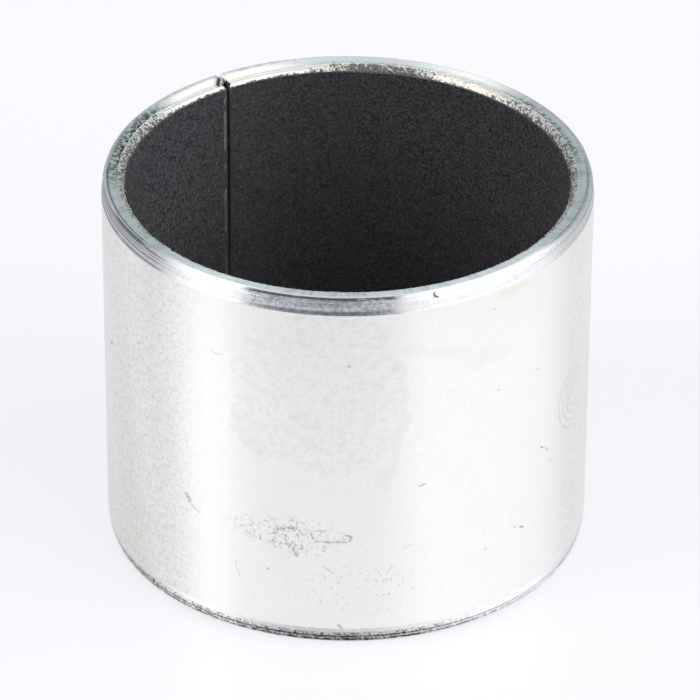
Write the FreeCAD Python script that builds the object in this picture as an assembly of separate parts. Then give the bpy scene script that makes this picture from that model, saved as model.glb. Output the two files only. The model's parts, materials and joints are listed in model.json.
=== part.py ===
import FreeCAD, Part
import math
import os

# Wrapped sliding bush for a shock absorber, in millimetres.
# A strip of steel, with a sintered bronze layer and a dark sliding skin bonded to it,
# is rolled into a ring whose ends meet in an open butt joint.
# The bush stands on its lower end face. Its axis is +Z, the origin is on the axis at
# that face, and the joint is at the back left when seen along +Y.

# Bore and length
bore_diameter = 18.0
bush_length = 16.2

# Thickness of each bonded layer, from the bore outwards
liner_thickness = 0.03
bronze_thickness = 0.30
steel_thickness = 0.67

# Chamfer at each mouth of the bore, which bares the bronze
mouth_chamfer_depth = 0.28
mouth_chamfer_length = 0.31

# Lead-in chamfer round the outside of each end: a shallow facet on the outer wall,
# then a steeper one that runs out on the end face
lead_facet_depth = 0.06
lead_facet_length = 0.48
end_facet_depth = 0.07
end_facet_length = 0.21

# Butt joint between the two ends of the strip. Seen from the bore, the strip's right
# end has well rounded corners, and its left end was cut off sharper.
joint_azimuth = 123.8
joint_gap = 0.14
right_corner_radius = 0.20
left_corner_radius = 0.07
joint_groove_depth = 0.09
joint_groove_half_width = 0.14

# Cutting tools run past the faces that they cut by this much
tool_overrun = 1.0

bore_radius = bore_diameter / 2
liner_outer_radius = bore_radius + liner_thickness
bronze_outer_radius = liner_outer_radius + bronze_thickness
outer_radius = bronze_outer_radius + steel_thickness

axis_point = FreeCAD.Vector(0, 0, 0)
axis_direction = FreeCAD.Vector(0, 0, 1)


def section_point(radius, height):
    return FreeCAD.Vector(radius, 0, height)


def end_profile():
    """Half of the wall's section: from the bore, round one end, to the outer wall.

    Each point is a radius and a distance inwards from the end face."""
    mouth_radius = bore_radius + mouth_chamfer_depth
    lead_radius = outer_radius - lead_facet_depth
    rim_radius = lead_radius - end_facet_depth
    lead_end = end_facet_length + lead_facet_length
    return [
        (bore_radius, mouth_chamfer_length),
        (mouth_radius, 0),
        (rim_radius, 0),
        (lead_radius, end_facet_length),
        (outer_radius, lead_end),
    ]


def wall_ring():
    """The whole wall as one closed ring, with both ends chamfered alike."""
    lower = [section_point(radius, inset) for radius, inset in end_profile()]
    upper = [section_point(radius, bush_length - inset) for radius, inset in end_profile()]
    upper.reverse()
    outline = lower + upper
    outline.append(outline[0])
    section = Part.Face(Part.makePolygon(outline))
    return section.revolve(axis_point, axis_direction, 360)


def layer_boundary(radius):
    """A solid cylinder that parts one bonded layer from the next."""
    start = FreeCAD.Vector(0, 0, -tool_overrun)
    return Part.makeCylinder(radius, bush_length + 2 * tool_overrun, start, axis_direction)


def slot_side(hand, corner_radius):
    """One side of the gap, from below the bush to above it, seen along the radius.

    The side bows outwards at both ends, where the strip's corners are rounded."""
    edge = hand * joint_gap / 2
    flare = hand * (joint_gap / 2 + corner_radius)
    bow_height = corner_radius * (1 - math.sqrt(0.5))
    bow = hand * (joint_gap / 2 + bow_height)

    def point(across, height):
        return FreeCAD.Vector(0, across, height)

    lower_corner = Part.Arc(point(flare, 0), point(bow, bow_height), point(edge, corner_radius))
    upper_corner = Part.Arc(
        point(edge, bush_length - corner_radius),
        point(bow, bush_length - bow_height),
        point(flare, bush_length),
    )
    return [
        Part.makeLine(point(flare, -tool_overrun), point(flare, 0)),
        lower_corner.toShape(),
        Part.makeLine(point(edge, corner_radius), point(edge, bush_length - corner_radius)),
        upper_corner.toShape(),
        Part.makeLine(point(flare, bush_length), point(flare, bush_length + tool_overrun)),
    ]


def joint_slot():
    """The gap between the strip's ends, with Y across it, cut from the axis outwards along X."""
    left = slot_side(1, left_corner_radius)
    right = slot_side(-1, right_corner_radius)
    sill = Part.makeLine(left[0].Vertexes[0].Point, right[0].Vertexes[0].Point)
    lintel = Part.makeLine(left[-1].Vertexes[-1].Point, right[-1].Vertexes[-1].Point)
    outline = Part.Wire(Part.sortEdges(left + right + [sill, lintel])[0])
    return Part.Face(outline).extrude(FreeCAD.Vector(outer_radius + tool_overrun, 0, 0))


def joint_groove():
    """The shallow V down the outside of the joint, left by the broken edges of the strip."""
    root = outer_radius - joint_groove_depth
    crest = outer_radius + tool_overrun
    slope = (joint_groove_half_width - joint_gap / 2) / joint_groove_depth
    crest_half_width = joint_groove_half_width + slope * tool_overrun
    floor = -tool_overrun
    corners = [
        FreeCAD.Vector(root, -joint_gap / 2, floor),
        FreeCAD.Vector(crest, -crest_half_width, floor),
        FreeCAD.Vector(crest, crest_half_width, floor),
        FreeCAD.Vector(root, joint_gap / 2, floor),
    ]
    corners.append(corners[0])
    plan = Part.Face(Part.makePolygon(corners))
    return plan.extrude(FreeCAD.Vector(0, 0, bush_length + 2 * tool_overrun))


def joint_cutter():
    cutter = joint_slot().fuse(joint_groove())
    cutter.rotate(axis_point, axis_direction, joint_azimuth)
    return cutter


def sliding_liner(wall):
    return wall.common(layer_boundary(liner_outer_radius))


def bronze_interlayer(wall):
    within = wall.common(layer_boundary(bronze_outer_radius))
    return within.cut(layer_boundary(liner_outer_radius))


def steel_backing(wall):
    return wall.cut(layer_boundary(bronze_outer_radius))


def main():
    os.makedirs("parts", exist_ok=True)
    wall = wall_ring().cut(joint_cutter())
    layers = {
        "steel_backing": steel_backing(wall),
        "bronze_interlayer": bronze_interlayer(wall),
        "sliding_liner": sliding_liner(wall),
    }
    for name, shape in layers.items():
        solid = shape.Solids[0]
        solid.exportStep(f"parts/{name}.step")
        print(name, len(shape.Solids), solid.isValid(), round(solid.Volume, 2), "mm3")


main()
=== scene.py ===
import bmesh
import bpy
import json
import math
from mathutils import Matrix, Vector, noise


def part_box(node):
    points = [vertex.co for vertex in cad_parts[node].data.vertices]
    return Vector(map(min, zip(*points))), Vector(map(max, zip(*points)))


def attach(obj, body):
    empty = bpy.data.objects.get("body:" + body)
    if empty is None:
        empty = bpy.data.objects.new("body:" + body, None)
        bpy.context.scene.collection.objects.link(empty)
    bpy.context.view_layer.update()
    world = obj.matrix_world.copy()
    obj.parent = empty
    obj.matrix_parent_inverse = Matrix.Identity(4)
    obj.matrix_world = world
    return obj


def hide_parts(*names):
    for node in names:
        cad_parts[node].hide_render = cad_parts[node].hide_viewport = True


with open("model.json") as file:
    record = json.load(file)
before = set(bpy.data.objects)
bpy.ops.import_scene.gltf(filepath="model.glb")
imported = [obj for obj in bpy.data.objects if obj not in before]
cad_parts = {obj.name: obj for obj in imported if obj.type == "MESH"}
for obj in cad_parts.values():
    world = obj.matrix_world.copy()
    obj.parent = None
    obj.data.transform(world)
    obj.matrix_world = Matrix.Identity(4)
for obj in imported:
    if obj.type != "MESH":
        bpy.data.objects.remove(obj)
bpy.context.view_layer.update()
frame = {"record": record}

# Sizes from the frame, in metres
MM = 0.001
MOUNTS = {mount["name"]: mount for mount in frame["record"]["mounts"]}
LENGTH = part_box("steel_backing")[1].z
OUTER_RADIUS = MOUNTS["outside"]["dims"]["r_mm"] * MM
BORE_RADIUS = MOUNTS["bore"]["dims"]["r_mm"] * MM
BRONZE_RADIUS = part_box("bronze_interlayer")[1].x
SKIN_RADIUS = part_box("sliding_liner")[1].x
MOUTH_LENGTH = (LENGTH - MOUNTS["bore"]["dims"]["length_mm"] * MM) / 2
LEAD_LENGTH = (LENGTH - MOUNTS["outside"]["dims"]["length_mm"] * MM) / 2

# Butt joint between the strip's ends
JOINT_AZIMUTH = math.radians(123.4)
JOINT_GAP = 0.18 * MM
RIGHT_CORNER = 0.20 * MM
LEFT_CORNER = 0.07 * MM
LIP_WIDTH = 0.22 * MM
LIP_DEPTH = 0.05 * MM
# Hole in the sintered layer's edge at the joint, with its place past the joint's middle and below
# the end face
HOLE_PAST = 0.03 * MM
HOLE_BELOW = 0.08 * MM
HOLE_HALF_WIDTH = 0.20 * MM
HOLE_HALF_HEIGHT = 0.14 * MM
HOLE_DEPTH = 0.14 * MM
# Painted shade of the slot at the left corner: millimetres past the joint's middle, and from the axis
SLOT_SHADE = ((-0.10, 9.80), (0.10, 9.60), (0.26, 9.46), (0.40, 9.31))
SLOT_SHADE_HALF_WIDTH = 0.12

# Camera of the photograph, in pixels of its 700 by 700 frame
FRAME_PIXELS = 700
FOCAL_PIXELS = 5465.5
CENTRE_X = 347.0
CENTRE_Y = 343.0
CAMERA_DISTANCE = 22.58 * OUTER_RADIUS
CAMERA_ELEVATION = math.radians(31.725)
CAMERA_ROLL = math.radians(0.258)
SENSOR = 36.0


def place_camera():
    data = bpy.data.cameras.new("photo_camera")
    data.sensor_width = SENSOR
    data.lens = SENSOR * FOCAL_PIXELS / FRAME_PIXELS
    data.shift_x = (FRAME_PIXELS / 2 - CENTRE_X) / FRAME_PIXELS
    data.shift_y = (CENTRE_Y - FRAME_PIXELS / 2) / FRAME_PIXELS
    data.clip_start = 0.01
    data.clip_end = 10.0
    camera = bpy.data.objects.new("photo_camera", data)
    bpy.context.scene.collection.objects.link(camera)
    target = Vector((0, 0, LENGTH / 2))
    back = Vector((0, -math.cos(CAMERA_ELEVATION), math.sin(CAMERA_ELEVATION)))
    turn = (-back).to_track_quat("-Z", "Y").to_matrix().to_4x4()
    roll = Matrix.Rotation(CAMERA_ROLL, 4, "Z")
    camera.matrix_world = Matrix.Translation(target + back * CAMERA_DISTANCE) @ turn @ roll
    bpy.context.scene.camera = camera


# Node helpers

def add_node(tree, kind, sockets=None, **settings):
    """A shader node. A socket is linked where its value is another node's output, else it is set."""
    made = tree.nodes.new(kind)
    for key, value in settings.items():
        setattr(made, key, value)
    for key, value in (sockets or {}).items():
        if isinstance(value, bpy.types.NodeSocket):
            tree.links.new(value, made.inputs[key])
        else:
            made.inputs[key].default_value = value
    return made


def math_node(tree, operation, *values, clamp=False):
    sockets = dict(enumerate(values))
    return add_node(tree, "ShaderNodeMath", sockets, operation=operation, use_clamp=clamp).outputs[0]


def vector_node(tree, operation, *values):
    sockets = dict(enumerate(values))
    made = add_node(tree, "ShaderNodeVectorMath", sockets, operation=operation)
    return made.outputs["Value" if operation in ("LENGTH", "DOT_PRODUCT") else "Vector"]


def remap(tree, value, low, high, out_low=0.0, out_high=1.0, smooth=False):
    """Maps value from low..high to out_low..out_high, and stops at both ends."""
    made = add_node(
        tree,
        "ShaderNodeMapRange",
        {"Value": value, "From Min": low, "From Max": high, "To Min": out_low, "To Max": out_high},
        interpolation_type="SMOOTHSTEP" if smooth else "LINEAR",
    )
    return made.outputs["Result"]


def mix_colour(tree, share, first, second, blend="MIX"):
    sockets = {0: share, 6: first, 7: second}
    return add_node(tree, "ShaderNodeMix", sockets, data_type="RGBA", blend_type=blend).outputs[2]


def noise_at(tree, place, scale, detail=2.0, roughness=0.5):
    sockets = {"Vector": place, "Scale": scale, "Detail": detail, "Roughness": roughness}
    return add_node(tree, "ShaderNodeTexNoise", sockets).outputs["Fac"]


def attribute(tree, name):
    return add_node(tree, "ShaderNodeAttribute", attribute_name=name).outputs["Fac"]


def product(tree, *values):
    result = values[0]
    for value in values[1:]:
        result = math_node(tree, "MULTIPLY", result, value)
    return result


def strongest(tree, *values):
    result = values[0]
    for value in values[1:]:
        result = math_node(tree, "MAXIMUM", result, value)
    return result


def bump(tree, height, distance, strength=1.0, after=None):
    sockets = {"Height": height, "Distance": distance, "Strength": strength}
    if after is not None:
        sockets["Normal"] = after
    return add_node(tree, "ShaderNodeBump", sockets).outputs[0]


def combined(tree, *values):
    return add_node(tree, "ShaderNodeCombineXYZ", dict(enumerate(values))).outputs[0]


def stretched_noise(tree, place, factors, detail, roughness):
    """Noise whose grains are longer where a factor is smaller."""
    return noise_at(tree, vector_node(tree, "MULTIPLY", place, factors), 1.0, detail, roughness)


class Places:
    """Where a shaded point lies on the bush, in millimetres."""

    def __init__(self, tree):
        here = add_node(tree, "ShaderNodeTexCoord").outputs["Object"]
        self.plain = vector_node(tree, "MULTIPLY", here, (1 / MM, 1 / MM, 1 / MM))
        turn = {"Vector": self.plain, "Angle": math.pi - JOINT_AZIMUTH}
        turned = add_node(tree, "ShaderNodeVectorRotate", turn, rotation_type="Z_AXIS").outputs[0]
        x, y, self.height = add_node(tree, "ShaderNodeSeparateXYZ", {0: turned}).outputs
        squares = math_node(tree, "ADD", product(tree, x, x), product(tree, y, y))
        self.radius = math_node(tree, "SQRT", squares)
        angle = math_node(tree, "ARCTAN2", y, x)
        radius_mm = OUTER_RADIUS / MM
        # Length along the strip from its left end, so that the jump lies in the gap itself
        self.run = math_node(tree, "MULTIPLY_ADD", angle, radius_mm, math.pi * radius_mm)
        to_right_end = math_node(tree, "SUBTRACT", 2 * math.pi * radius_mm, self.run)
        nearer_end = math_node(tree, "MINIMUM", self.run, to_right_end)
        self.from_strip_end = math_node(tree, "SUBTRACT", nearer_end, JOINT_GAP / 2 / MM)
        # The same from the front, to the right, for marks on the outside
        front = (math.radians(270) - JOINT_AZIMUTH) * radius_mm
        self.from_front = math_node(tree, "SUBTRACT", self.run, front)
        self.strip = combined(tree, self.run, self.radius, self.height)
        self.wall = combined(tree, self.from_front, self.height)
        # Distance from the nearer of the two end faces
        below_top = math_node(tree, "SUBTRACT", LENGTH / MM, self.height)
        self.from_end = math_node(tree, "MINIMUM", below_top, self.height)
        self.upper = remap(tree, self.height, LENGTH / MM * 0.49, LENGTH / MM * 0.51)


def new_material(name):
    material = bpy.data.materials.new(name)
    material.use_nodes = True
    tree = material.node_tree
    tree.nodes.clear()
    shader = add_node(tree, "ShaderNodeBsdfPrincipled")
    output = add_node(tree, "ShaderNodeOutputMaterial")
    tree.links.new(shader.outputs[0], output.inputs["Surface"])
    return material, tree, shader


def slot_shade_mask(tree, at, spread):
    """1 on the painted shade of the slot beside the joint, widened by a factor."""
    by_run = combined(tree, at.run, at.radius)
    return product(tree, at.upper, stroke(tree, by_run, SLOT_SHADE, SLOT_SHADE_HALF_WIDTH * spread))


def worked_along(tree, shader, amount):
    """Fine lines that run round the bush spread a reflection up and down, not sideways."""
    tangent = add_node(tree, "ShaderNodeTangent", direction_type="RADIAL", axis="Z").outputs[0]
    tree.links.new(tangent, shader.inputs["Tangent"])
    shader.inputs["Anisotropic"].default_value = amount
    shader.inputs["Anisotropic Rotation"].default_value = 0.25


# Masks for marks

def patch(tree, place, centre, half_size, softness):
    """1 inside an ellipse, 0 outside it."""
    offset = vector_node(tree, "SUBTRACT", place, (*centre, 0))
    scaled = vector_node(tree, "MULTIPLY", offset, (1 / half_size[0], 1 / half_size[1], 0))
    return remap(tree, vector_node(tree, "LENGTH", scaled), 1 + softness, 1 - softness, smooth=True)


def band(tree, value, low, high, softness):
    """1 where a value lies between low and high."""
    rising = remap(tree, value, low - softness, low + softness, smooth=True)
    falling = remap(tree, value, high - softness, high + softness, 1.0, 0.0, smooth=True)
    return product(tree, rising, falling)


def stroke(tree, place, points, half_width):
    """1 on a line through the points, 0 away from it."""
    nearest = None
    for start, end in zip(points, points[1:]):
        along = Vector((end[0] - start[0], end[1] - start[1], 0))
        offset = vector_node(tree, "SUBTRACT", place, (*start, 0))
        share = vector_node(tree, "DOT_PRODUCT", offset, tuple(along / along.length_squared))
        share = math_node(tree, "ADD", share, 0.0, clamp=True)
        step = combined(tree, share, share)
        reached = vector_node(tree, "MULTIPLY", step, tuple(along))
        distance = vector_node(tree, "LENGTH", vector_node(tree, "SUBTRACT", offset, reached))
        nearest = distance if nearest is None else math_node(tree, "MINIMUM", nearest, distance)
    return remap(tree, nearest, half_width, half_width * 0.35, smooth=True)


def wobbled(tree, place, scale, amount):
    """The same place, moved a little this way and that, so that marks lose their straight edges."""
    shift = add_node(tree, "ShaderNodeTexNoise", {"Vector": place, "Scale": scale}).outputs["Color"]
    centred = vector_node(tree, "SUBTRACT", shift, (0.5, 0.5, 0.5))
    scaled = vector_node(tree, "MULTIPLY", centred, (amount, amount, 0))
    return vector_node(tree, "ADD", place, scaled)


# Fine rings on the outside, millimetres round from the front and height of their centre
RING_CENTRE = (11.8, 8.1)
RING_PITCH = 0.34

# Marks on the outside: points (millimetres round from the front, to the right, and height), half
# of the line's width, and how dark it is
DENTS = (
    ("head of the comma", ((-6.97, 5.64), (-6.86, 5.40)), 0.17, 0.8),
    ("tail of the comma", ((-6.82, 5.36), (-6.62, 5.14), (-6.34, 5.04)), 0.08, 0.5),
    ("tick", ((-4.62, 3.30), (-4.55, 2.90), (-4.42, 2.55)), 0.04, 0.5),
    ("short dash", ((2.97, 7.31), (3.21, 7.40)), 0.05, 0.9),
    ("slanting dash", ((7.50, 3.88), (7.62, 3.84)), 0.06, 0.5),
    ("end of the slanting dash", ((7.82, 3.78), (8.04, 3.62)), 0.06, 0.9),
    ("upper dash of three", ((9.04, 7.02), (9.20, 6.92)), 0.06, 0.9),
    ("middle dash of three", ((9.32, 6.85), (9.55, 6.62)), 0.06, 0.5),
    ("lower dash of three", ((9.62, 6.06), (9.86, 5.99)), 0.05, 0.6),
    ("scratch in the bright band", ((-5.70, 12.94), (-5.40, 12.86), (-5.15, 12.92)), 0.04, 0.5),
    ("dash by the right edge", ((8.60, 10.95), (8.80, 10.85)), 0.05, 0.5),
    ("dash at the left", ((-12.95, 9.75), (-12.60, 9.95)), 0.10, 0.7),
    ("small dash at the left", ((-10.00, 11.40), (-9.80, 11.50)), 0.06, 0.6),
    ("light stroke", ((1.64, 3.32), (1.88, 3.67)), 0.04, 0.5),
    ("faint stroke", ((2.35, 4.45), (2.66, 4.58)), 0.05, 0.4),
    ("notch over the foot", ((-0.30, 0.86), (-0.14, 0.68)), 0.09, 0.8),
    ("dot low left", ((-3.23, 3.27), (-3.19, 3.27)), 0.07, 0.9),
    ("dot low right", ((5.97, 3.43), (6.01, 3.43)), 0.08, 0.7),
    ("dot at the top", ((0.06, 13.20), (0.12, 13.20)), 0.08, 0.8),
    ("dot under the chamfer", ((6.18, 14.72), (6.22, 14.72)), 0.06, 0.7),
    ("dot right of the middle", ((6.48, 10.84), (6.54, 10.84)), 0.05, 0.5),
)
SCRIBBLE = (
    ("steep line", ((-2.82, 5.41), (-2.79, 5.05)), 0.06, 1.0),
    ("short slope", ((-2.61, 5.33), (-2.55, 5.20)), 0.06, 0.7),
    ("tick over the slope", ((-2.51, 5.54), (-2.46, 5.39)), 0.05, 0.7),
    ("flat tick", ((-2.30, 5.58), (-2.13, 5.50)), 0.05, 0.6),
    ("leaning line", ((-2.15, 4.78), (-2.31, 4.49)), 0.05, 0.8),
    ("dark tail", ((-2.13, 4.48), (-1.96, 4.10)), 0.09, 0.8),
    ("dot", ((-1.96, 5.15), (-1.93, 5.03)), 0.07, 0.7),
    ("start of the arrow", ((-1.42, 5.29), (-1.33, 5.00)), 0.06, 0.8),
    ("top of the arrow", ((-1.12, 5.44), (-0.88, 5.36)), 0.05, 0.5),
    ("line of the arrow", ((-1.25, 4.87), (-0.50, 4.88), (0.16, 4.96)), 0.045, 0.9),
    ("tip of the arrow", ((0.00, 5.25), (0.23, 5.16), (0.16, 4.96)), 0.055, 0.9),
    ("hook", ((-0.98, 4.53), (-0.88, 4.41)), 0.05, 0.7),
    ("dot under the hook", ((-1.22, 4.22), (-1.15, 4.19)), 0.05, 0.6),
    ("trail", ((-0.91, 3.68), (-0.54, 3.38)), 0.05, 0.6),
    ("left dash", ((-3.53, 4.81), (-3.50, 4.58)), 0.05, 0.9),
    ("left curl", ((-4.11, 4.87), (-3.97, 4.79)), 0.06, 0.7),
    ("first of the row", ((-4.41, 5.11), (-4.19, 5.09)), 0.05, 0.6),
)


def marks(tree, place, strokes):
    """All the strokes of a list, each as dark as the list says."""
    result = None
    for name, points, half_width, strength in strokes:
        line = product(tree, stroke(tree, place, points, half_width), strength)
        result = line if result is None else math_node(tree, "MAXIMUM", result, line)
    return result


# Materials

def darken(tree, colour, mask, factor):
    """The colour, times a factor for red, green and blue where the mask is 1."""
    return mix_colour(tree, mask, colour, (*factor, 1), blend="MULTIPLY")


def rotated(tree, place, degrees, factors):
    """The place turned about the wall's normal, then stretched."""
    turn = {"Vector": place, "Angle": math.radians(degrees)}
    turned = add_node(tree, "ShaderNodeVectorRotate", turn, rotation_type="Z_AXIS").outputs[0]
    return vector_node(tree, "MULTIPLY", turned, factors)


def tinned_steel():
    """Bright tin with painted darker reflections in bands, streaked at the left, smudged in the middle
    and scratched below it.
    """
    material, tree, shader = new_material("tinned_steel")
    at = Places(tree)
    grain = noise_at(tree, at.plain, 8.0, 3.0, 0.75)
    coarse = noise_at(tree, at.plain, 3.0, 4.0, 0.7)
    specks = noise_at(tree, at.wall, 4.2, 3.0, 0.75)
    loose = wobbled(tree, at.wall, 0.9, 1.3)
    close = wobbled(tree, at.wall, 4.0, 0.20)

    dull_tin, bright_tin = (0.925, 0.920, 0.886, 1), (1.0, 0.997, 0.960, 1)
    colour = mix_colour(tree, remap(tree, grain, 0.30, 0.70), dull_tin, bright_tin)
    broad = noise_at(tree, at.plain, 0.5, 3.0, 0.55)
    colour = darken(tree, colour, remap(tree, broad, 0.40, 0.62), (0.985, 0.988, 0.988))

    # A little darker towards the foot
    colour = darken(tree, colour, remap(tree, at.height, 12.0, 3.0), (0.955, 0.955, 0.955))

    # Fine lines and specks at the left, fainter round the far side
    far_side = remap(tree, math_node(tree, "ABSOLUTE", at.from_front), 15.0, 17.0)
    left = strongest(tree, band(tree, at.from_front, -16.0, -6.8, 1.0), product(tree, far_side, 0.5))
    hairlines = noise_at(tree, rotated(tree, at.wall, 38, (16.0, 1.8, 1.0)), 1.0, 3.0, 0.65)
    lined = product(tree, left, remap(tree, hairlines, 0.48, 0.62))
    colour = darken(tree, colour, lined, (0.91, 0.915, 0.91))
    specked = product(tree, left, remap(tree, specks, 0.50, 0.60))
    colour = darken(tree, colour, specked, (0.86, 0.865, 0.86))
    low_left = band(tree, at.from_front, -16.0, -9.0, 1.5)
    low_left = product(tree, low_left, remap(tree, at.height, 5.0, 1.0))
    colour = darken(tree, colour, low_left, (0.935, 0.94, 0.925))
    blotched = product(tree, left, remap(tree, coarse, 0.48, 0.66))
    colour = darken(tree, colour, blotched, (0.96, 0.965, 0.965))

    # Painted darker reflections: tinted bands that lean a little, and a darker band at each side of
    # the wall
    leaning = math_node(tree, "MULTIPLY_ADD", at.height, 0.10, at.from_front)
    olive_reflection = band(tree, leaning, -12.2, -9.4, 1.2)
    colour = darken(tree, colour, olive_reflection, (0.925, 0.935, 0.905))
    left_edge_reflection = remap(tree, at.from_front, -12.4, -13.4)
    violet_reflection = strongest(tree, band(tree, leaning, -8.6, -6.6, 0.8), left_edge_reflection)
    colour = darken(tree, colour, violet_reflection, (0.952, 0.952, 0.968))
    # Painted darker reflection at the right side of the wall, broken by specks
    right = band(tree, at.from_front, 10.5, 17.6, 0.9)
    right = product(tree, right, remap(tree, specks, 0.44, 0.60, 0.3, 1.0))
    colour = darken(tree, colour, right, (0.88, 0.90, 0.885))

    # A cloudy smudge in the middle, with a trail to the right
    ribs = noise_at(tree, rotated(tree, at.wall, -38, (9.0, 2.0, 1.0)), 1.0, 4.0, 0.65)
    cloud = patch(tree, loose, (-0.6, 12.0), (2.9, 4.1), 0.06)
    cloud = strongest(tree, cloud, patch(tree, loose, (-3.2, 11.6), (1.7, 3.0), 0.08))
    clouded = product(tree, cloud, remap(tree, ribs, 0.44, 0.58, 0.25, 1.0))
    colour = darken(tree, colour, clouded, (0.985, 0.987, 0.987))
    flecks = product(tree, cloud, remap(tree, coarse, 0.49, 0.57))
    colour = darken(tree, colour, flecks, (0.935, 0.937, 0.937))
    down_right = ((1.7, 13.6), (2.3, 12.4), (2.3, 10.4), (1.9, 9.2), (1.3, 7.6))
    edge = stroke(tree, loose, down_right, 0.32)
    edge = product(tree, edge, remap(tree, grain, 0.40, 0.60, 0.3, 1.0))
    colour = darken(tree, colour, edge, (0.925, 0.928, 0.928))
    corner = stroke(tree, loose, ((-4.6, 10.3), (-3.7, 9.2), (-3.6, 8.3)), 0.45)
    corner = product(tree, corner, remap(tree, grain, 0.38, 0.60, 0.3, 1.0))
    colour = darken(tree, colour, corner, (0.945, 0.948, 0.948))
    trail = stroke(tree, loose, ((2.4, 13.8), (3.6, 13.4), (5.2, 12.8), (6.6, 12.7)), 0.45)
    trail = product(tree, trail, remap(tree, grain, 0.40, 0.60, 0.3, 1.0))
    colour = darken(tree, colour, trail, (0.955, 0.958, 0.958))
    stain = patch(tree, loose, (7.3, 15.25), (0.65, 0.3), 0.5)
    colour = darken(tree, colour, stain, (0.96, 0.95, 0.86))

    # Rings rubbed round one point at the right
    from_centre = vector_node(tree, "SUBTRACT", at.wall, (*RING_CENTRE, 0))
    ring_distance = vector_node(tree, "LENGTH", from_centre)
    rings = math_node(tree, "SINE", product(tree, ring_distance, 2 * math.pi / RING_PITCH))
    rings = product(tree, band(tree, ring_distance, 0.35, 1.55, 0.1), remap(tree, rings, -0.3, 1.0))
    rings = product(tree, rings, remap(tree, at.from_front, 12.8, 11.0))
    colour = darken(tree, colour, rings, (0.86, 0.875, 0.875))

    # Specks, a tangle of fine scratches below the smudge, and single dents
    soiled = patch(tree, close, (-2.2, 5.0), (2.7, 0.85), 0.5)
    soiled = strongest(tree, soiled, patch(tree, close, (0.7, 2.7), (2.2, 1.1), 0.6))
    soiled = product(tree, soiled, remap(tree, specks, 0.59, 0.69))
    colour = darken(tree, colour, soiled, (0.55, 0.56, 0.56))
    curls = math_node(tree, "SUBTRACT", noise_at(tree, close, 2.6, 2.0, 0.6), 0.5)
    curls = math_node(tree, "ABSOLUTE", curls)
    around = product(tree, patch(tree, close, (-2.4, 5.1), (2.3, 0.7), 0.4), 0.5)
    tangle = strongest(tree, patch(tree, close, (-2.2, 5.05), (0.95, 0.8), 0.5), around)
    curled = product(tree, remap(tree, curls, 0.045, 0.015), tangle, remap(tree, specks, 0.42, 0.55))
    colour = darken(tree, colour, curled, (0.50, 0.51, 0.51))
    stray = remap(tree, noise_at(tree, at.wall, 2.6, 3.0, 0.8), 0.735, 0.80)
    colour = darken(tree, colour, stray, (0.78, 0.78, 0.77))
    broken = remap(tree, grain, 0.36, 0.56, 0.15, 1.0)
    scribble = product(tree, marks(tree, close, SCRIBBLE), broken)
    colour = darken(tree, colour, scribble, (0.42, 0.43, 0.43))
    dents = product(tree, marks(tree, wobbled(tree, at.wall, 7.0, 0.12), DENTS), broken)
    colour = darken(tree, colour, dents, (0.42, 0.42, 0.41))
    tree.links.new(colour, shader.inputs["Base Color"])
    shader.inputs["Metallic"].default_value = 1.0
    shader.inputs["Roughness"].default_value = 0.32
    worked_along(tree, shader, 0.84)
    tree.links.new(bump(tree, grain, 0.003 * MM), shader.inputs["Normal"])
    return material


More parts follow.
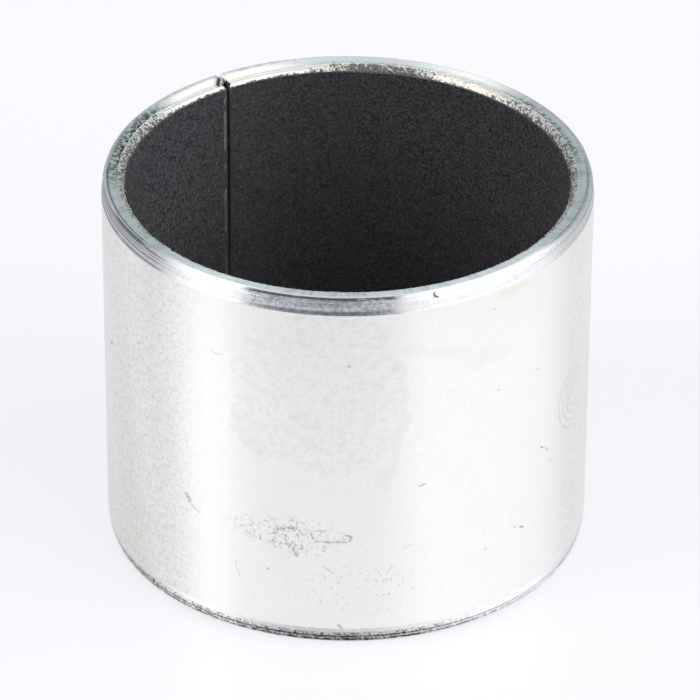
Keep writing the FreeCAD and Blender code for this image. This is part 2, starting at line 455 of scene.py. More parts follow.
def turned_steel():
    """The steel of the end faces and the outer chamfers, with the lines left by the tool."""
    material, tree, shader = new_material("turned_steel")
    at = Places(tree)
    streaks = stretched_noise(tree, at.strip, (0.5, 14.0, 14.0), 4.0, 0.6)
    fine = noise_at(tree, at.plain, 9.0, 3.0, 0.7)
    dashes = stretched_noise(tree, at.strip, (1.3, 5.0, 5.0), 3.0, 0.7)
    dotted = stretched_noise(tree, at.strip, (4.5, 6.0, 6.0), 3.0, 0.7)
    speckled = noise_at(tree, at.plain, 6.5, 3.0, 0.7)
    across = stretched_noise(tree, at.strip, (2.6, 0.8, 0.8), 3.0, 0.6)
    chamfer = remap(tree, at.radius, 9.855, 9.875)
    rim = remap(tree, at.radius, 9.875, 9.855)
    lower = remap(tree, at.upper, 0.0, 1.0, 1.0, 0.0)
    left = band(tree, at.from_front, -15.0, -8.3, 0.6)
    far_left = band(tree, at.from_front, -12.2, -9.4, 0.5)
    front = band(tree, at.from_front, -4.1, 2.0, 0.4)
    right = band(tree, at.from_front, 7.6, 17.0, 1.2)

    def line(depth, half_width):
        offset = math_node(tree, "ABSOLUTE", math_node(tree, "SUBTRACT", at.from_end, depth))
        return remap(tree, offset, half_width, half_width * 0.4, smooth=True)

    # The end face, worn bright beside the joint, and with a painted highlight at the back
    streaky = remap(tree, streaks, 0.32, 0.68)
    rim_metal = mix_colour(tree, streaky, (0.69, 0.775, 0.765, 1), (0.90, 0.985, 0.975, 1))
    rim_metal = darken(tree, rim_metal, remap(tree, across, 0.48, 0.64), (0.80, 0.81, 0.82))
    by_joint = strongest(tree, remap(tree, at.run, 4.4, 2.8), remap(tree, at.run, 57.8, 60.2))
    by_joint = product(tree, by_joint, remap(tree, at.radius, 9.72, 9.58))
    # Painted highlight on the outer part of the end face at the back
    painted_highlight_at_back = band(tree, at.run, 48.5, 59.5, 2.0)
    painted_highlight_at_back = product(tree, painted_highlight_at_back, remap(tree, at.radius, 9.38, 9.50), 0.8)
    wear_and_highlight = product(tree, strongest(tree, by_joint, painted_highlight_at_back), rim)
    rim_metal = mix_colour(tree, wear_and_highlight, rim_metal, (0.93, 0.925, 0.875, 1))
    cut_metal = mix_colour(tree, streaky, (0.80, 0.82, 0.825, 1), (1.0, 1.0, 1.0, 1))
    colour = mix_colour(tree, chamfer, rim_metal, cut_metal)
    grained = product(tree, remap(tree, fine, 0.44, 0.66), remap(tree, wear_and_highlight, 0.0, 1.0, 1.0, 0.3))
    colour = darken(tree, colour, grained, (0.86, 0.86, 0.87))

    # Rings on the end face: a dark one at the sides, and painted highlights as bright rings beside it
    # and in front
    sides = strongest(tree, band(tree, at.from_front, -16.5, -9.3, 0.7), product(tree, right, 0.7))
    side_ring = product(tree, at.upper, band(tree, at.radius, 9.70, 9.78, 0.02), sides)
    colour = darken(tree, colour, side_ring, (0.42, 0.43, 0.44))
    far_left_edge = product(tree, at.upper, remap(tree, at.from_front, -10.8, -11.6))
    edge_highlight_ring = product(tree, far_left_edge, band(tree, at.radius, 9.80, 9.86, 0.02), 0.8)
    left_of_front = band(tree, at.from_front, -8.1, -4.0, 0.4)
    lit_sides = strongest(tree, left_of_front, band(tree, at.from_front, 2.4, 9.8, 0.9))
    lit_ring = product(tree, at.upper, rim, remap(tree, at.radius, 9.64, 9.73), lit_sides)
    front_highlight_ring = product(tree, at.upper, band(tree, at.radius, 9.67, 9.79, 0.03), front, 0.8)
    highlight_rings = strongest(tree, edge_highlight_ring, front_highlight_ring, lit_ring)
    colour = mix_colour(tree, highlight_rings, colour, (1.0, 1.0, 1.0, 1))

    # Dark lines round the end face's outer edge, broken in front, and the tool's lines at the left
    by_edge = product(tree, at.upper, remap(tree, at.from_end, 0.12, 0.07))
    dash = remap(tree, dashes, 0.32, 0.44)
    left_edge = product(tree, by_edge, band(tree, at.radius, 9.835, 9.885, 0.015), far_left)
    front_edge = product(tree, by_edge, band(tree, at.radius, 9.785, 9.885, 0.015), front, dash)
    colour = darken(tree, colour, strongest(tree, left_edge, front_edge), (0.22, 0.23, 0.24))
    tool_lines = strongest(tree, line(0.105, 0.036), line(0.375, 0.034))
    tool_lines = strongest(tree, tool_lines, product(tree, line(0.60, 0.036), 0.8))
    tool_lines = strongest(tree, tool_lines, product(tree, line(0.245, 0.015), 0.5))
    left_lines = product(tree, at.upper, chamfer, tool_lines, left)
    left_lines = product(tree, left_lines, remap(tree, dashes, 0.34, 0.46, 0.35, 1.0))
    colour = darken(tree, colour, left_lines, (0.24, 0.24, 0.25))
    left_streaks = product(tree, at.upper, chamfer, left, remap(tree, streaks, 0.36, 0.62))
    colour = darken(tree, colour, left_streaks, (0.82, 0.815, 0.84))
    mid_line = product(tree, at.upper, line(0.215, 0.022), remap(tree, dashes, 0.36, 0.50, 0.1, 0.7))
    colour = darken(tree, colour, mid_line, (0.62, 0.63, 0.64))
    blue_line = product(tree, at.upper, band(tree, at.from_end, 0.52, 0.70, 0.05))
    blue_line = product(tree, blue_line, band(tree, at.from_front, -3.6, 1.6, 1.2))
    blue_line = product(tree, blue_line, remap(tree, fine, 0.30, 0.60, 1.0, 0.55))
    colour = darken(tree, colour, blue_line, (0.27, 0.275, 0.34))
    # Painted dark reflection in front of the chamfer, broken into streaks and specks, brown at its top
    in_front = product(tree, at.upper, chamfer, front)
    brown = product(tree, in_front, remap(tree, at.from_end, 0.16, 0.08))
    brown = product(tree, brown, remap(tree, streaks, 0.42, 0.56))
    colour = darken(tree, colour, brown, (0.68, 0.66, 0.62))
    front_reflection_specks = product(tree, in_front, remap(tree, speckled, 0.47, 0.58))
    colour = darken(tree, colour, front_reflection_specks, (0.70, 0.70, 0.71))
    front_reflection_streaks = product(tree, in_front, remap(tree, streaks, 0.42, 0.58))
    colour = darken(tree, colour, front_reflection_streaks, (0.66, 0.67, 0.69))

    # Nick in the chamfer right of the front
    unrolled = combined(tree, at.from_front, at.from_end)
    nick = stroke(tree, unrolled, ((3.52, 0.0), (3.50, 0.15), (3.64, 0.22)), 0.06)
    colour = darken(tree, colour, product(tree, at.upper, chamfer, nick), (0.20, 0.20, 0.22))

    # Foot of the bush: two dark lines, painted shade over them in front, dirt and rust in the chamfer
    low_dark = remap(tree, at.from_front, 3.0, 9.5, 1.0, 0.42)
    low_dark = product(tree, low_dark, remap(tree, at.from_front, -3.0, -10.0, 1.0, 0.7))
    dots = remap(tree, dotted, 0.42, 0.52)
    upper_line = product(tree, line(0.27, 0.06), remap(tree, fine, 0.38, 0.54, 0.5, 1.0))
    low_lines = strongest(tree, product(tree, line(0.09, 0.08), dots), upper_line)
    colour = darken(tree, colour, product(tree, lower, low_lines, low_dark), (0.16, 0.155, 0.15))
    # Painted shade, where the foot in front reflects the shaded floor beside it
    low_painted_shade = product(tree, lower, remap(tree, at.from_end, 0.66, 0.30))
    low_painted_shade = product(tree, low_painted_shade, band(tree, at.from_front, -4.5, 4.0, 2.0))
    low_painted_shade = product(tree, low_painted_shade, remap(tree, fine, 0.34, 0.52, 0.4, 1.0))
    colour = darken(tree, colour, low_painted_shade, (0.60, 0.60, 0.59))
    in_foot = product(tree, lower, remap(tree, at.from_end, 0.50, 0.42))
    in_foot = product(tree, in_foot, band(tree, at.from_front, -11.0, 4.5, 2.0))
    dirty_foot = product(tree, in_foot, remap(tree, speckled, 0.51, 0.59))
    colour = darken(tree, colour, dirty_foot, (0.28, 0.25, 0.22))
    rusty = product(tree, in_foot, remap(tree, at.from_front, -3.0, -5.0))
    rusty = product(tree, rusty, remap(tree, fine, 0.40, 0.54))
    colour = darken(tree, colour, rusty, (0.84, 0.76, 0.70))

    # A thin dark line along the outer edge at the back
    far_side = remap(tree, math_node(tree, "ABSOLUTE", at.from_front), 17.0, 21.0)
    far_edge = product(tree, at.upper, band(tree, at.radius, 9.83, 9.91, 0.02), far_side)
    colour = darken(tree, colour, far_edge, (0.50, 0.54, 0.52))

    # Pores at the inner edge of the end face at the sides
    pitted = strongest(tree, band(tree, at.run, 42.5, 49.0, 1.0), band(tree, at.run, 4.0, 9.5, 0.6))
    pitted = product(tree, at.upper, pitted, remap(tree, at.radius, 9.60, 9.48))
    pitted = product(tree, pitted, remap(tree, speckled, 0.45, 0.53))
    colour = darken(tree, colour, pitted, (0.34, 0.35, 0.33))

    # Dirt on the end face left of the joint, a tick at its inner edge, and the slot's painted shade
    dirty_rim = product(tree, rim, band(tree, at.run, 3.9, 10.6, 0.8))
    dirty_rim = product(tree, dirty_rim, remap(tree, at.radius, 9.80, 9.66, 0.2, 1.0))
    dirty_rim = product(tree, dirty_rim, remap(tree, speckled, 0.44, 0.53))
    colour = darken(tree, colour, dirty_rim, (0.32, 0.34, 0.31))
    face = combined(tree, at.from_front, at.radius)
    tick = product(tree, at.upper, stroke(tree, face, ((-10.98, 9.28), (-10.82, 9.44)), 0.035))
    colour = darken(tree, colour, tick, (0.25, 0.22, 0.20))
    # Painted shade of the slot by the joint, soft round it and nearly black in it
    colour = darken(tree, colour, slot_shade_mask(tree, at, 2.2), (0.62, 0.64, 0.60))
    colour = darken(tree, colour, slot_shade_mask(tree, at, 1.0), (0.10, 0.115, 0.10))

    # Dirt and painted shade in the joint, a painted highlight at its mouth, steel behind the bronze's
    # pores
    gap_wall = remap(tree, at.from_strip_end, 0.03, 0.0)
    gap_mouth_highlight = product(tree, remap(tree, at.from_end, 0.34, 0.24), remap(tree, at.radius, 9.40, 9.46))
    # Painted highlight at the joint's mouth, where light falls on the top of the end face
    colour = mix_colour(tree, product(tree, gap_wall, gap_mouth_highlight), colour, (1.0, 1.0, 0.98, 1))
    # Dirt and painted shade on the end face in the joint, painted nearly black deeper down
    soiled = product(tree, gap_wall, remap(tree, gap_mouth_highlight, 0.0, 1.0, 1.0, 0.0))
    colour = darken(tree, colour, soiled, (0.30, 0.29, 0.26))
    shaded = product(tree, soiled, remap(tree, at.from_end, 1.2, 0.6))
    colour = darken(tree, colour, shaded, (0.08, 0.08, 0.08))
    # Painted near black, for the dark filling and the shade deep in the pores
    under_bronze = remap(tree, at.radius, 9.345, 9.335)
    under_bronze = product(tree, under_bronze, remap(tree, at.from_end, 0.02, 0.04))
    colour = darken(tree, colour, under_bronze, (0.012, 0.011, 0.008))
    tree.links.new(colour, shader.inputs["Base Color"])
    shader.inputs["Metallic"].default_value = 1.0
    rough = remap(tree, strongest(tree, chamfer, wear_and_highlight, lit_ring), 0.0, 1.0, 0.36, 0.5)
    tree.links.new(rough, shader.inputs["Roughness"])
    worked_along(tree, shader, 0.92)
    lines_bump = bump(tree, streaks, 0.005 * MM)
    tree.links.new(bump(tree, fine, 0.003 * MM, after=lines_bump), shader.inputs["Normal"])
    return material


def sintered_bronze():
    """Grains of bronze powder with dark pores between them, smeared bright beside the joint."""
    material, tree, shader = new_material("sintered_bronze")
    at = Places(tree)
    pore, smear = attribute(tree, "pore"), attribute(tree, "smear")
    copper, hole = attribute(tree, "copper"), attribute(tree, "hole")
    tint = noise_at(tree, at.plain, 4.0, 3.0)
    grey_grain, brown_grain = (0.57, 0.58, 0.55, 1), (0.58, 0.53, 0.46, 1)
    metal = mix_colour(tree, remap(tree, tint, 0.45, 0.62), grey_grain, brown_grain)
    metal = mix_colour(tree, remap(tree, at.radius, 9.20, 9.28), metal, (0.62, 0.645, 0.63, 1))
    metal = mix_colour(tree, smear, metal, (0.93, 0.915, 0.85, 1))
    metal = mix_colour(tree, copper, metal, (0.98, 0.76, 0.64, 1))
    filled = remap(tree, pore, 0.30, 0.70)
    deep = noise_at(tree, at.plain, 11.0, 3.0, 0.7)
    dark_pore, dusty_pore = (0.030, 0.029, 0.024, 1), (0.150, 0.150, 0.136, 1)
    hollow = mix_colour(tree, remap(tree, deep, 0.36, 0.62), dark_pore, dusty_pore)
    colour = mix_colour(tree, filled, metal, hollow)

    # Where the skin is worn off beside the joint, bronze shows through what is left of it
    bared = stretched_noise(tree, at.plain, (3.0, 3.0, 1.6), 4.0, 0.75)
    grey_bronze, brown_bronze = (0.180, 0.175, 0.160, 1), (0.165, 0.140, 0.116, 1)
    bronze = mix_colour(tree, remap(tree, at.height, 9.0, 3.0), grey_bronze, brown_bronze)
    left_skin = (0.042, 0.041, 0.042, 1)
    lip = mix_colour(tree, remap(tree, bared, 0.44, 0.56), left_skin, bronze)
    # Painted shade on the lip's edge beside the open joint
    lip_edge_shade = remap(tree, at.from_strip_end, 0.09, 0.03)
    lip = mix_colour(tree, lip_edge_shade, lip, (0.028, 0.026, 0.022, 1))
    in_bore = product(tree, remap(tree, at.from_end, 0.28, 0.34), remap(tree, at.radius, 9.22, 9.18))
    colour = mix_colour(tree, in_bore, colour, lip)

    # Dirt and painted shade in the joint, its mouth's hole painted dark, and the slot's painted shade
    gap_wall = remap(tree, at.from_strip_end, 0.008, 0.0)
    colour = mix_colour(tree, gap_wall, colour, (0.27, 0.255, 0.215, 1))
    colour = mix_colour(tree, remap(tree, hole, 0.2, 0.6), colour, (0.040, 0.034, 0.022, 1))
    # Painted shade of the slot by the joint, soft round it and nearly black in it
    colour = darken(tree, colour, slot_shade_mask(tree, at, 2.2), (0.62, 0.64, 0.60))
    colour = darken(tree, colour, slot_shade_mask(tree, at, 1.0), (0.10, 0.11, 0.09))
    tree.links.new(colour, shader.inputs["Base Color"])
    dull = strongest(tree, filled, in_bore, gap_wall, hole)
    tree.links.new(remap(tree, dull, 0.0, 1.0, 1.0, 0.0), shader.inputs["Metallic"])
    shine = remap(tree, strongest(tree, smear, copper), 0.0, 1.0, 0.55, 0.42)
    rough = add_node(tree, "ShaderNodeMix", {0: dull, 2: shine, 3: 0.7}).outputs[0]
    tree.links.new(rough, shader.inputs["Roughness"])
    fine = noise_at(tree, at.plain, 14.0, 3.0)
    tree.links.new(bump(tree, fine, 0.012 * MM), shader.inputs["Normal"])
    return material


def sliding_skin():
    """A dark matte skin, coarser and painted paler at the left where light falls, with painted shade
    at the back.
    """
    material, tree, shader = new_material("sliding_skin")
    at = Places(tree)
    grain = noise_at(tree, at.plain, 9.0, 3.0, 0.75)
    clumps = noise_at(tree, at.plain, 3.0, 3.0, 0.6)
    black, grey = (0.015, 0.0148, 0.018, 1), (0.094, 0.093, 0.102, 1)
    colour = mix_colour(tree, remap(tree, grain, 0.38, 0.64), black, grey)
    across = add_node(tree, "ShaderNodeSeparateXYZ", {0: at.plain}).outputs[0]
    # Painted light: paler crumbs at the left, where the right softbox lights the bore
    painted_light_at_left = remap(tree, across, -2.2, -8.0)
    crumbs = noise_at(tree, at.plain, 7.5, 3.0, 0.8)
    between_crumbs, lit_crumb = (0.018, 0.0178, 0.021, 1), (0.125, 0.124, 0.133, 1)
    coarser = mix_colour(tree, remap(tree, crumbs, 0.42, 0.60), between_crumbs, lit_crumb)
    colour = mix_colour(tree, product(tree, painted_light_at_left, 0.75), colour, coarser)
    # Painted shade on the back of the bore
    colour = darken(tree, colour, band(tree, at.run, 47.0, 61.0, 5.0), (0.80, 0.80, 0.80))
    colour = darken(tree, colour, remap(tree, clumps, 0.56, 0.68), (0.74, 0.74, 0.76))
    tree.links.new(colour, shader.inputs["Base Color"])
    shader.inputs["Roughness"].default_value = 0.5
    tree.links.new(bump(tree, grain, 0.022 * MM), shader.inputs["Normal"])
    return material


# Pieces

def mirrored(upper_half):
    """A closed outline from its upper half, which runs from the inside over the top to the outside."""
    lower_half = [(radius, LENGTH - height) for radius, height in reversed(upper_half)]
    return upper_half + lower_half


def between(first, last, steps):
    """Points that divide the way from first to last, without last."""
    return [
        (first[0] + (last[0] - first[0]) * k / steps, first[1] + (last[1] - first[1]) * k / steps)
        for k in range(steps)
    ]


def stations(columns, left_setback):
    """Azimuths of the rolled strip's columns, from the left side of the joint to its right side."""
    half_gap = JOINT_GAP / 2 / OUTER_RADIUS
    fine_turn = 1.5 * RIGHT_CORNER / OUTER_RADIUS
    fine_steps = 16
    start = JOINT_AZIMUTH + half_gap + left_setback / OUTER_RADIUS
    end = JOINT_AZIMUTH - half_gap + 2 * math.pi
    first = [start + fine_turn * k / fine_steps for k in range(fine_steps)]
    middle_turn = end - start - 2 * fine_turn
    middle = [start + fine_turn + middle_turn * k / columns for k in range(columns)]
    last = [end - fine_turn + fine_turn * k / fine_steps for k in range(fine_steps + 1)]
    return first + middle + last


def rolled_strip(outline, columns, left_setback=0.0):
    """A flat grid rolled into a ring whose wall has this outline, closed at the strip's ends."""
    azimuths = stations(columns, left_setback)
    rows = len(outline)
    mesh = bmesh.new()
    bmesh.ops.create_grid(mesh, x_segments=len(azimuths) - 1, y_segments=rows, size=1.0)
    first_row, last_row = {}, {}
    for vert in mesh.verts:
        column = round((vert.co.x + 1) / 2 * (len(azimuths) - 1))
        row = round((vert.co.y + 1) / 2 * rows)
        if row == 0:
            first_row[column] = vert
        if row == rows:
            last_row[column] = vert
        radius, height = outline[row % rows]
        azimuth = azimuths[column]
        vert.co = (radius * math.cos(azimuth), radius * math.sin(azimuth), height)
    seam = {last_row[column]: first_row[column] for column in last_row}
    bmesh.ops.weld_verts(mesh, targetmap=seam)
    bmesh.ops.holes_fill(mesh, edges=[edge for edge in mesh.edges if edge.is_boundary])
    bmesh.ops.recalc_face_normals(mesh, faces=mesh.faces)
    return mesh


def end_inset(distance, corner):
    """How far a rounded corner falls back at this distance from the strip's end."""
    if distance >= corner:
        return 0.0
    return corner - math.sqrt(corner**2 - (corner - distance) ** 2)


def past_joint(place):
    """Distance round from the middle of the joint, positive at its left side."""
    azimuth = math.atan2(place.y, place.x) - JOINT_AZIMUTH
    return ((azimuth + math.pi) % (2 * math.pi) - math.pi) * OUTER_RADIUS


def wear_ends(mesh):
    """Wears down the end faces, and rounds the strip's corners at the joint."""
    for vert in mesh.verts:
        offset = past_joint(vert.co)
        radius = vert.co.xy.length
        if min(vert.co.z, LENGTH - vert.co.z) < MOUTH_LENGTH:
            drop = worn_drop(radius, math.degrees(math.atan2(vert.co.y, vert.co.x)))
            vert.co.z += drop if vert.co.z < LENGTH / 2 else -drop
        distance = max(abs(offset) - JOINT_GAP / 2, 0.0)
        if distance > RIGHT_CORNER:
            continue
        inset = end_inset(distance, LEFT_CORNER if offset > 0 else RIGHT_CORNER)
        vert.co.z = min(max(vert.co.z, inset), LENGTH - inset)
        largest = OUTER_RADIUS - end_inset(distance, LEFT_CORNER)
        if radius > largest:
            vert.co.xy *= largest / radius


def finish_piece(mesh, name, materials, node, sharp_angle):
    data = bpy.data.meshes.new(name)
    mesh.to_mesh(data)
    mesh.free()
    data.shade_smooth()
    data.set_sharp_from_angle(angle=sharp_angle)
    for material in materials:
        data.materials.append(material)
    piece = bpy.data.objects.new(name, data)
    bpy.context.scene.collection.objects.link(piece)
    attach(piece, "root")
    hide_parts(node)
    return piece


# Wall's end from the bore over the end face: how far out from the axis, and how far below the
# highest ring of the end face. Rounded inner edge, flat end face, then its outer edge, a step under
# it, the steep facet, the tool's line, the long facet and a step at its foot
WALL_END = (
    (9.030, 0.270),
    (9.080, 0.186),
    (9.120, 0.135),
    (9.160, 0.094),
    (9.200, 0.062),
    (9.240, 0.038),
    (9.280, 0.022),
    (9.330, 0.010),
    (9.380, 0.003),
    (9.420, 0.000),
    (9.640, 0.000),
    (9.800, 0.000),
    (9.840, 0.003),
    (9.866, 0.012),
    (9.876, 0.030),
    (9.874, 0.046),
    (9.886, 0.062),
    (9.906, 0.150),
    (9.908, 0.166),
    (9.934, 0.204),
    (9.932, 0.220),
    (9.946, 0.240),
    (9.954, 0.330),
    (9.963, 0.440),
    (9.970, 0.530),
    (9.975, 0.580),
    (9.994, 0.660),
    (10.000, 0.690),
)

# How worn the wall's ends are, by azimuth in degrees: share of open pores in the sintered layer,
# how far its metal is smeared smooth, and how deep the inner half of the end face is worn down
END_STATES = (
    (-180, 0.44, 0.0, 0.0),
    (-120, 0.40, 0.0, 0.0),
    (0, 0.44, 0.0, 0.0),
    (40, 0.40, 0.0, 0.0),
    (52, 0.20, 0.2, 0.008),
    (66, 0.26, 0.2, 0.015),
    (73, 0.52, 0.0, 0.030),
    (88, 0.54, 0.0, 0.035),
    (96, 0.32, 0.2, 0.050),
    (104, 0.18, 0.6, 0.100),
    (110, 0.06, 1.0, 0.120),
    (139, 0.06, 1.0, 0.120),
    (144, 0.26, 0.5, 0.070),
    (149, 0.46, 0.0, 0.010),
    (156, 0.46, 0.0, 0.0),
    (180, 0.44, 0.0, 0.0),
)
# The worn inner half of the end face: where it starts, how wide its slope is, and how far from the
# skin it runs out
WEAR_START = 9.70 * MM
WEAR_WIDTH = 0.40 * MM
WEAR_RUN_OUT = 0.22 * MM

# Columns round each piece
STEEL_COLUMNS = 720
BRONZE_COLUMNS = 1700
SKIN_COLUMNS = 720


def end_state(azimuth):
    for low, high in zip(END_STATES, END_STATES[1:]):
        if low[0] <= azimuth <= high[0]:
            share = (azimuth - low[0]) / (high[0] - low[0])
            return [first + (second - first) * share for first, second in zip(low[1:], high[1:])]
    return END_STATES[0][1:]


def wall_end(lowest, highest):
    """The outline of the wall's upper end between two distances from the axis."""
    slack = 0.004 * MM
    outline = [(radius * MM, LENGTH - down * MM) for radius, down in WALL_END]
    return [point for point in outline if lowest - slack <= point[0] <= highest + slack]


def worn_drop(radius, azimuth):
    """How far wear lowers the inner half of the end face."""
    share = min(max((WEAR_START - radius) / WEAR_WIDTH, 0.0), 1.0)
    bottom = min(max((radius - SKIN_RADIUS) / WEAR_RUN_OUT, 0.0), 1.0)
    return end_state(azimuth)[2] * MM * share**1.5 * bottom


def steel_shell(wall_material, turned_material):
    half = wall_end(BRONZE_RADIUS, OUTER_RADIUS)
    below_chamfer = LENGTH - LEAD_LENGTH - 0.05 * MM
    half.append((OUTER_RADIUS, below_chamfer))
    mesh = rolled_strip(mirrored(half), STEEL_COLUMNS)
    wear_ends(mesh)
    wall_top = LENGTH - LEAD_LENGTH
    for face in mesh.faces:
        height = sum(vert.co.z for vert in face.verts) / len(face.verts)
        in_wall = LEAD_LENGTH < height < wall_top and len(face.verts) == 4
        face.material_index = 0 if in_wall else 1
    materials = [wall_material, turned_material]
    sharp = math.radians(14)
    return finish_piece(mesh, "steel_shell", materials, "steel_backing", sharp)


# Sintered layer: where it glints like copper, the sizes of its grains, how deep its pores are, and
# the distance between the rows of its mesh
COPPER_AZIMUTHS = (52.0, 65.0)
COPPER_PATCH = 0.50 * MM
GRAIN = 0.15 * MM
CRUMB = 0.07 * MM
CLUMP = 0.30 * MM
PORE_DEPTH = 0.045 * MM
GRAIN_RELIEF = 0.012 * MM
DEEPEST_IN_WALL = 0.06 * MM
ROW_STEP = 0.035 * MM


def grain_height(place):
    """Height of the powder grains at a place, from about 0 in a pore to about 1 on a grain."""
    distances, points = noise.voronoi(place / GRAIN)
    top = max(0.0, 1.0 - distances[0] * 1.1)
    crumbs = 0.5 + 0.5 * noise.noise(place / CRUMB)
    clumps = 0.5 + 0.5 * noise.noise(place / CLUMP)
    return 0.35 * top + 0.45 * crumbs + 0.20 * clumps


def copper_share(place, azimuth, end_distance):
    """Bright copper-coloured glints in a short stretch of the edge, low on its slope."""
    low, high = COPPER_AZIMUTHS
    if not low < azimuth < high or end_distance < 0.06 * MM:
        return 0.0
    return min(max((noise.noise(place / COPPER_PATCH) + 0.10) * 6.0, 0.0), 1.0)


def bronze_layer(material):
    inner = wall_end(SKIN_RADIUS, BRONZE_RADIUS)
    below_mouth = inner[0][1] - 0.15 * MM
    half = [(SKIN_RADIUS, below_mouth)]
    for first, second in zip(inner, inner[1:]):
        steps = max(1, round(math.dist(first, second) / ROW_STEP))
        half += between(first, second, steps)
    half.append(inner[-1])
    mesh = rolled_strip(mirrored(half), BRONZE_COLUMNS)
    pores = mesh.verts.layers.float.new("pore")
    smears = mesh.verts.layers.float.new("smear")
    coppers = mesh.verts.layers.float.new("copper")
    holes = mesh.verts.layers.float.new("hole")
    edge_depth = LENGTH - inner[0][1]
    for vert in mesh.verts:
        end_distance = min(vert.co.z, LENGTH - vert.co.z)
        radius = vert.co.xy.length
        offset = past_joint(vert.co)
        from_end = max(abs(offset) - JOINT_GAP / 2, 0.0)
        if offset > 0 and radius < 9.2 * MM and from_end < LIP_WIDTH:
            vert.co.xy *= 1 + LIP_DEPTH * (1 - from_end / LIP_WIDTH) / radius
        if end_distance > edge_depth + 0.002 * MM or radius > BRONZE_RADIUS - 0.001 * MM:
            continue
        azimuth = math.degrees(math.atan2(vert.co.y, vert.co.x))
        open_share, smear, _ = end_state(azimuth)
        height = grain_height(vert.co)
        by_skin = min(max((end_distance / edge_depth - 0.45) / 0.40, 0.0), 1.0)
        openness = open_share + 0.05 * (end_distance / edge_depth - 0.4) + 0.36 * smear * by_skin
        pore = min(max((openness - height + 0.25) * 2.6, 0.0), 1.0)
        depth = PORE_DEPTH * pore + GRAIN_RELIEF * (1 - height)
        across = (offset - HOLE_PAST) / HOLE_HALF_WIDTH
        down = (end_distance - HOLE_BELOW) / HOLE_HALF_HEIGHT
        if across**2 + down**2 < 1 and vert.co.z > LENGTH / 2:
            pore = 1.0
            vert[holes] = 1.0
            depth = HOLE_DEPTH * min(2 * (1 - across**2 - down**2), 1.0)
        vert[pores] = pore
        vert[smears] = smear
        vert[coppers] = copper_share(vert.co, azimuth, end_distance)
        side = 1.0 if vert.co.z > LENGTH / 2 else -1.0
        vert.co.z -= side * depth * 0.75
        vert.co.xy *= 1 + min(depth, DEEPEST_IN_WALL) * 0.65 / radius
    wear_ends(mesh)
    sharp = math.radians(60)
    return finish_piece(
        mesh, "bronze_layer", [material], "bronze_interlayer", sharp
    )


def bore_skin(material):
    """The skin stops short of the strip's left end, where its lip is worn."""
    skin_edge = wall_end(SKIN_RADIUS, SKIN_RADIUS)[0]
    bore_edge = (BORE_RADIUS, LENGTH - MOUTH_LENGTH)
    half = [bore_edge, skin_edge]
    mesh = rolled_strip(mirrored(half), SKIN_COLUMNS, left_setback=LIP_WIDTH)
    sharp = math.radians(30)
    return finish_piece(mesh, "bore_skin", [material], "sliding_liner", sharp)


# Stage

# The floor glows like a light table. The glow ends under the bush and fades beyond the picture.
FLOOR_GLOW = 0.660
FLOOR_SHARE = 0.228
GLOW_START = (9.5, 10.0)
GLOW_END = (46.0, 80.0)
GLOW_CENTRE_Y = 8.0


def floor_material():
    material, tree, shader = new_material("white_floor")
    here = add_node(tree, "ShaderNodeTexCoord").outputs["Object"]
    plain = vector_node(tree, "MULTIPLY", here, (1 / MM, 1 / MM, 0))
    radius = vector_node(tree, "LENGTH", plain)
    table = vector_node(tree, "LENGTH", vector_node(tree, "SUBTRACT", plain, (0, GLOW_CENTRE_Y, 0)))
    start = remap(tree, radius, *GLOW_START, smooth=True)
    fade = remap(tree, table, *GLOW_END, 1.0, 0.3, smooth=True)
    tree.links.new(product(tree, start, fade), shader.inputs["Emission Strength"])
    tint = (0.988, 0.982, 1.025)
    shader.inputs["Emission Color"].default_value = (*(FLOOR_GLOW * c for c in tint), 1)
    base = mix_colour(tree, fade, (0.08, 0.08, 0.08, 1), (*(FLOOR_SHARE * c for c in tint), 1))
    tree.links.new(base, shader.inputs["Base Color"])
    shader.inputs["Roughness"].default_value = 0.3
    shader.inputs["Specular IOR Level"].default_value = 0.12
    return material


def lay_floor():
    mesh = bmesh.new()
    bmesh.ops.create_grid(mesh, x_segments=1, y_segments=1, size=1.5)
    data = bpy.data.meshes.new("floor")
    mesh.to_mesh(data)
    mesh.free()
    data.materials.append(floor_material())
    floor = bpy.data.objects.new("floor", data)
    bpy.context.scene.collection.objects.link(floor)


# Brightness of the room at the sides, overhead and behind the camera, and where that lies
SIDE_LEVEL = 0.52
OVERHEAD_LEVEL = 0.95
FRONT_LEVEL = 0.58
FRONT_AZIMUTH = math.radians(-103)


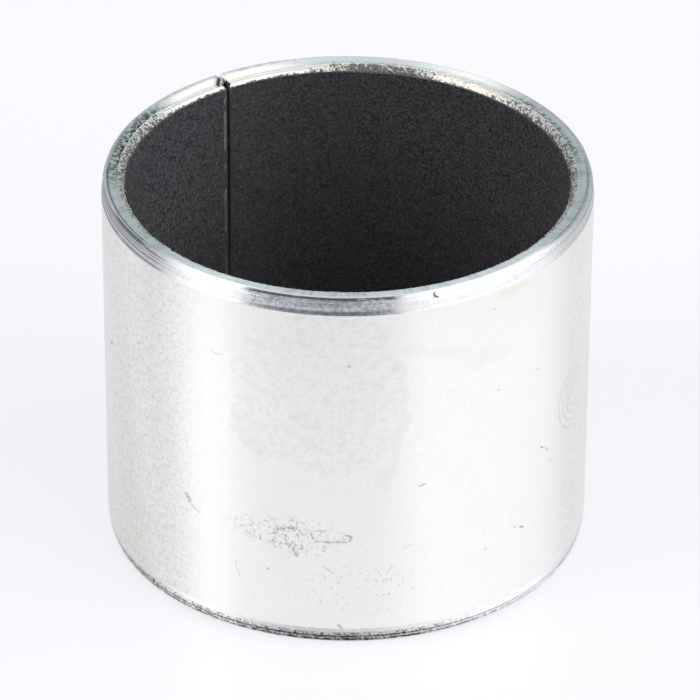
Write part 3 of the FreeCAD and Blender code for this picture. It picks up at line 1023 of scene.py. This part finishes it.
def studio_world():
    """An even room, brighter overhead and a little brighter behind the camera."""
    world = bpy.data.worlds.new("studio")
    world.use_nodes = True
    tree = world.node_tree
    tree.nodes.clear()
    direction = add_node(tree, "ShaderNodeTexCoord").outputs["Generated"]
    front = (math.cos(FRONT_AZIMUTH), math.sin(FRONT_AZIMUTH), 0.0)
    facing = vector_node(tree, "DOT_PRODUCT", direction, front)
    upwards = add_node(tree, "ShaderNodeSeparateXYZ", {0: direction}).outputs[2]
    room = remap(tree, upwards, 0.45, 0.95, SIDE_LEVEL, OVERHEAD_LEVEL, smooth=True)
    dimmed = remap(tree, facing, 0.35, 0.85, 1.0, FRONT_LEVEL / SIDE_LEVEL, smooth=True)
    level = product(tree, room, dimmed)
    glow = add_node(tree, "ShaderNodeBackground", {"Color": (0.94, 0.97, 1.0, 1), "Strength": level})
    output = add_node(tree, "ShaderNodeOutputWorld")
    tree.links.new(glow.outputs[0], output.inputs["Surface"])
    bpy.context.scene.world = world


def softbox(name, azimuth, elevation, width, height, radiance, distance=0.6):
    """A soft panel that faces the bush. Its radiance of 1 is as bright as a white page."""
    data = bpy.data.lights.new(name, "AREA")
    data.shape = "RECTANGLE"
    data.size = width
    data.size_y = height
    data.energy = radiance * width * height * math.pi
    lamp = bpy.data.objects.new(name, data)
    bpy.context.scene.collection.objects.link(lamp)
    a, e = math.radians(azimuth), math.radians(elevation)
    out = Vector((math.cos(a) * math.cos(e), math.sin(a) * math.cos(e), math.sin(e)))
    turn = (-out).to_track_quat("-Z", "Y").to_matrix().to_4x4()
    lamp.matrix_world = Matrix.Translation(out * distance + Vector((0, 0, LENGTH / 2))) @ turn


def light_studio():
    studio_world()
    softbox("left_softbox", azimuth=202, elevation=37, width=0.29, height=0.42, radiance=4.4)
    softbox("right_softbox", azimuth=-23, elevation=37, width=0.88, height=0.42, radiance=2.68)


place_camera()
steel_shell(tinned_steel(), turned_steel())
bronze_layer(sintered_bronze())
bore_skin(sliding_skin())
lay_floor()
light_studio()
bpy.context.scene.view_settings.view_transform = "Standard"
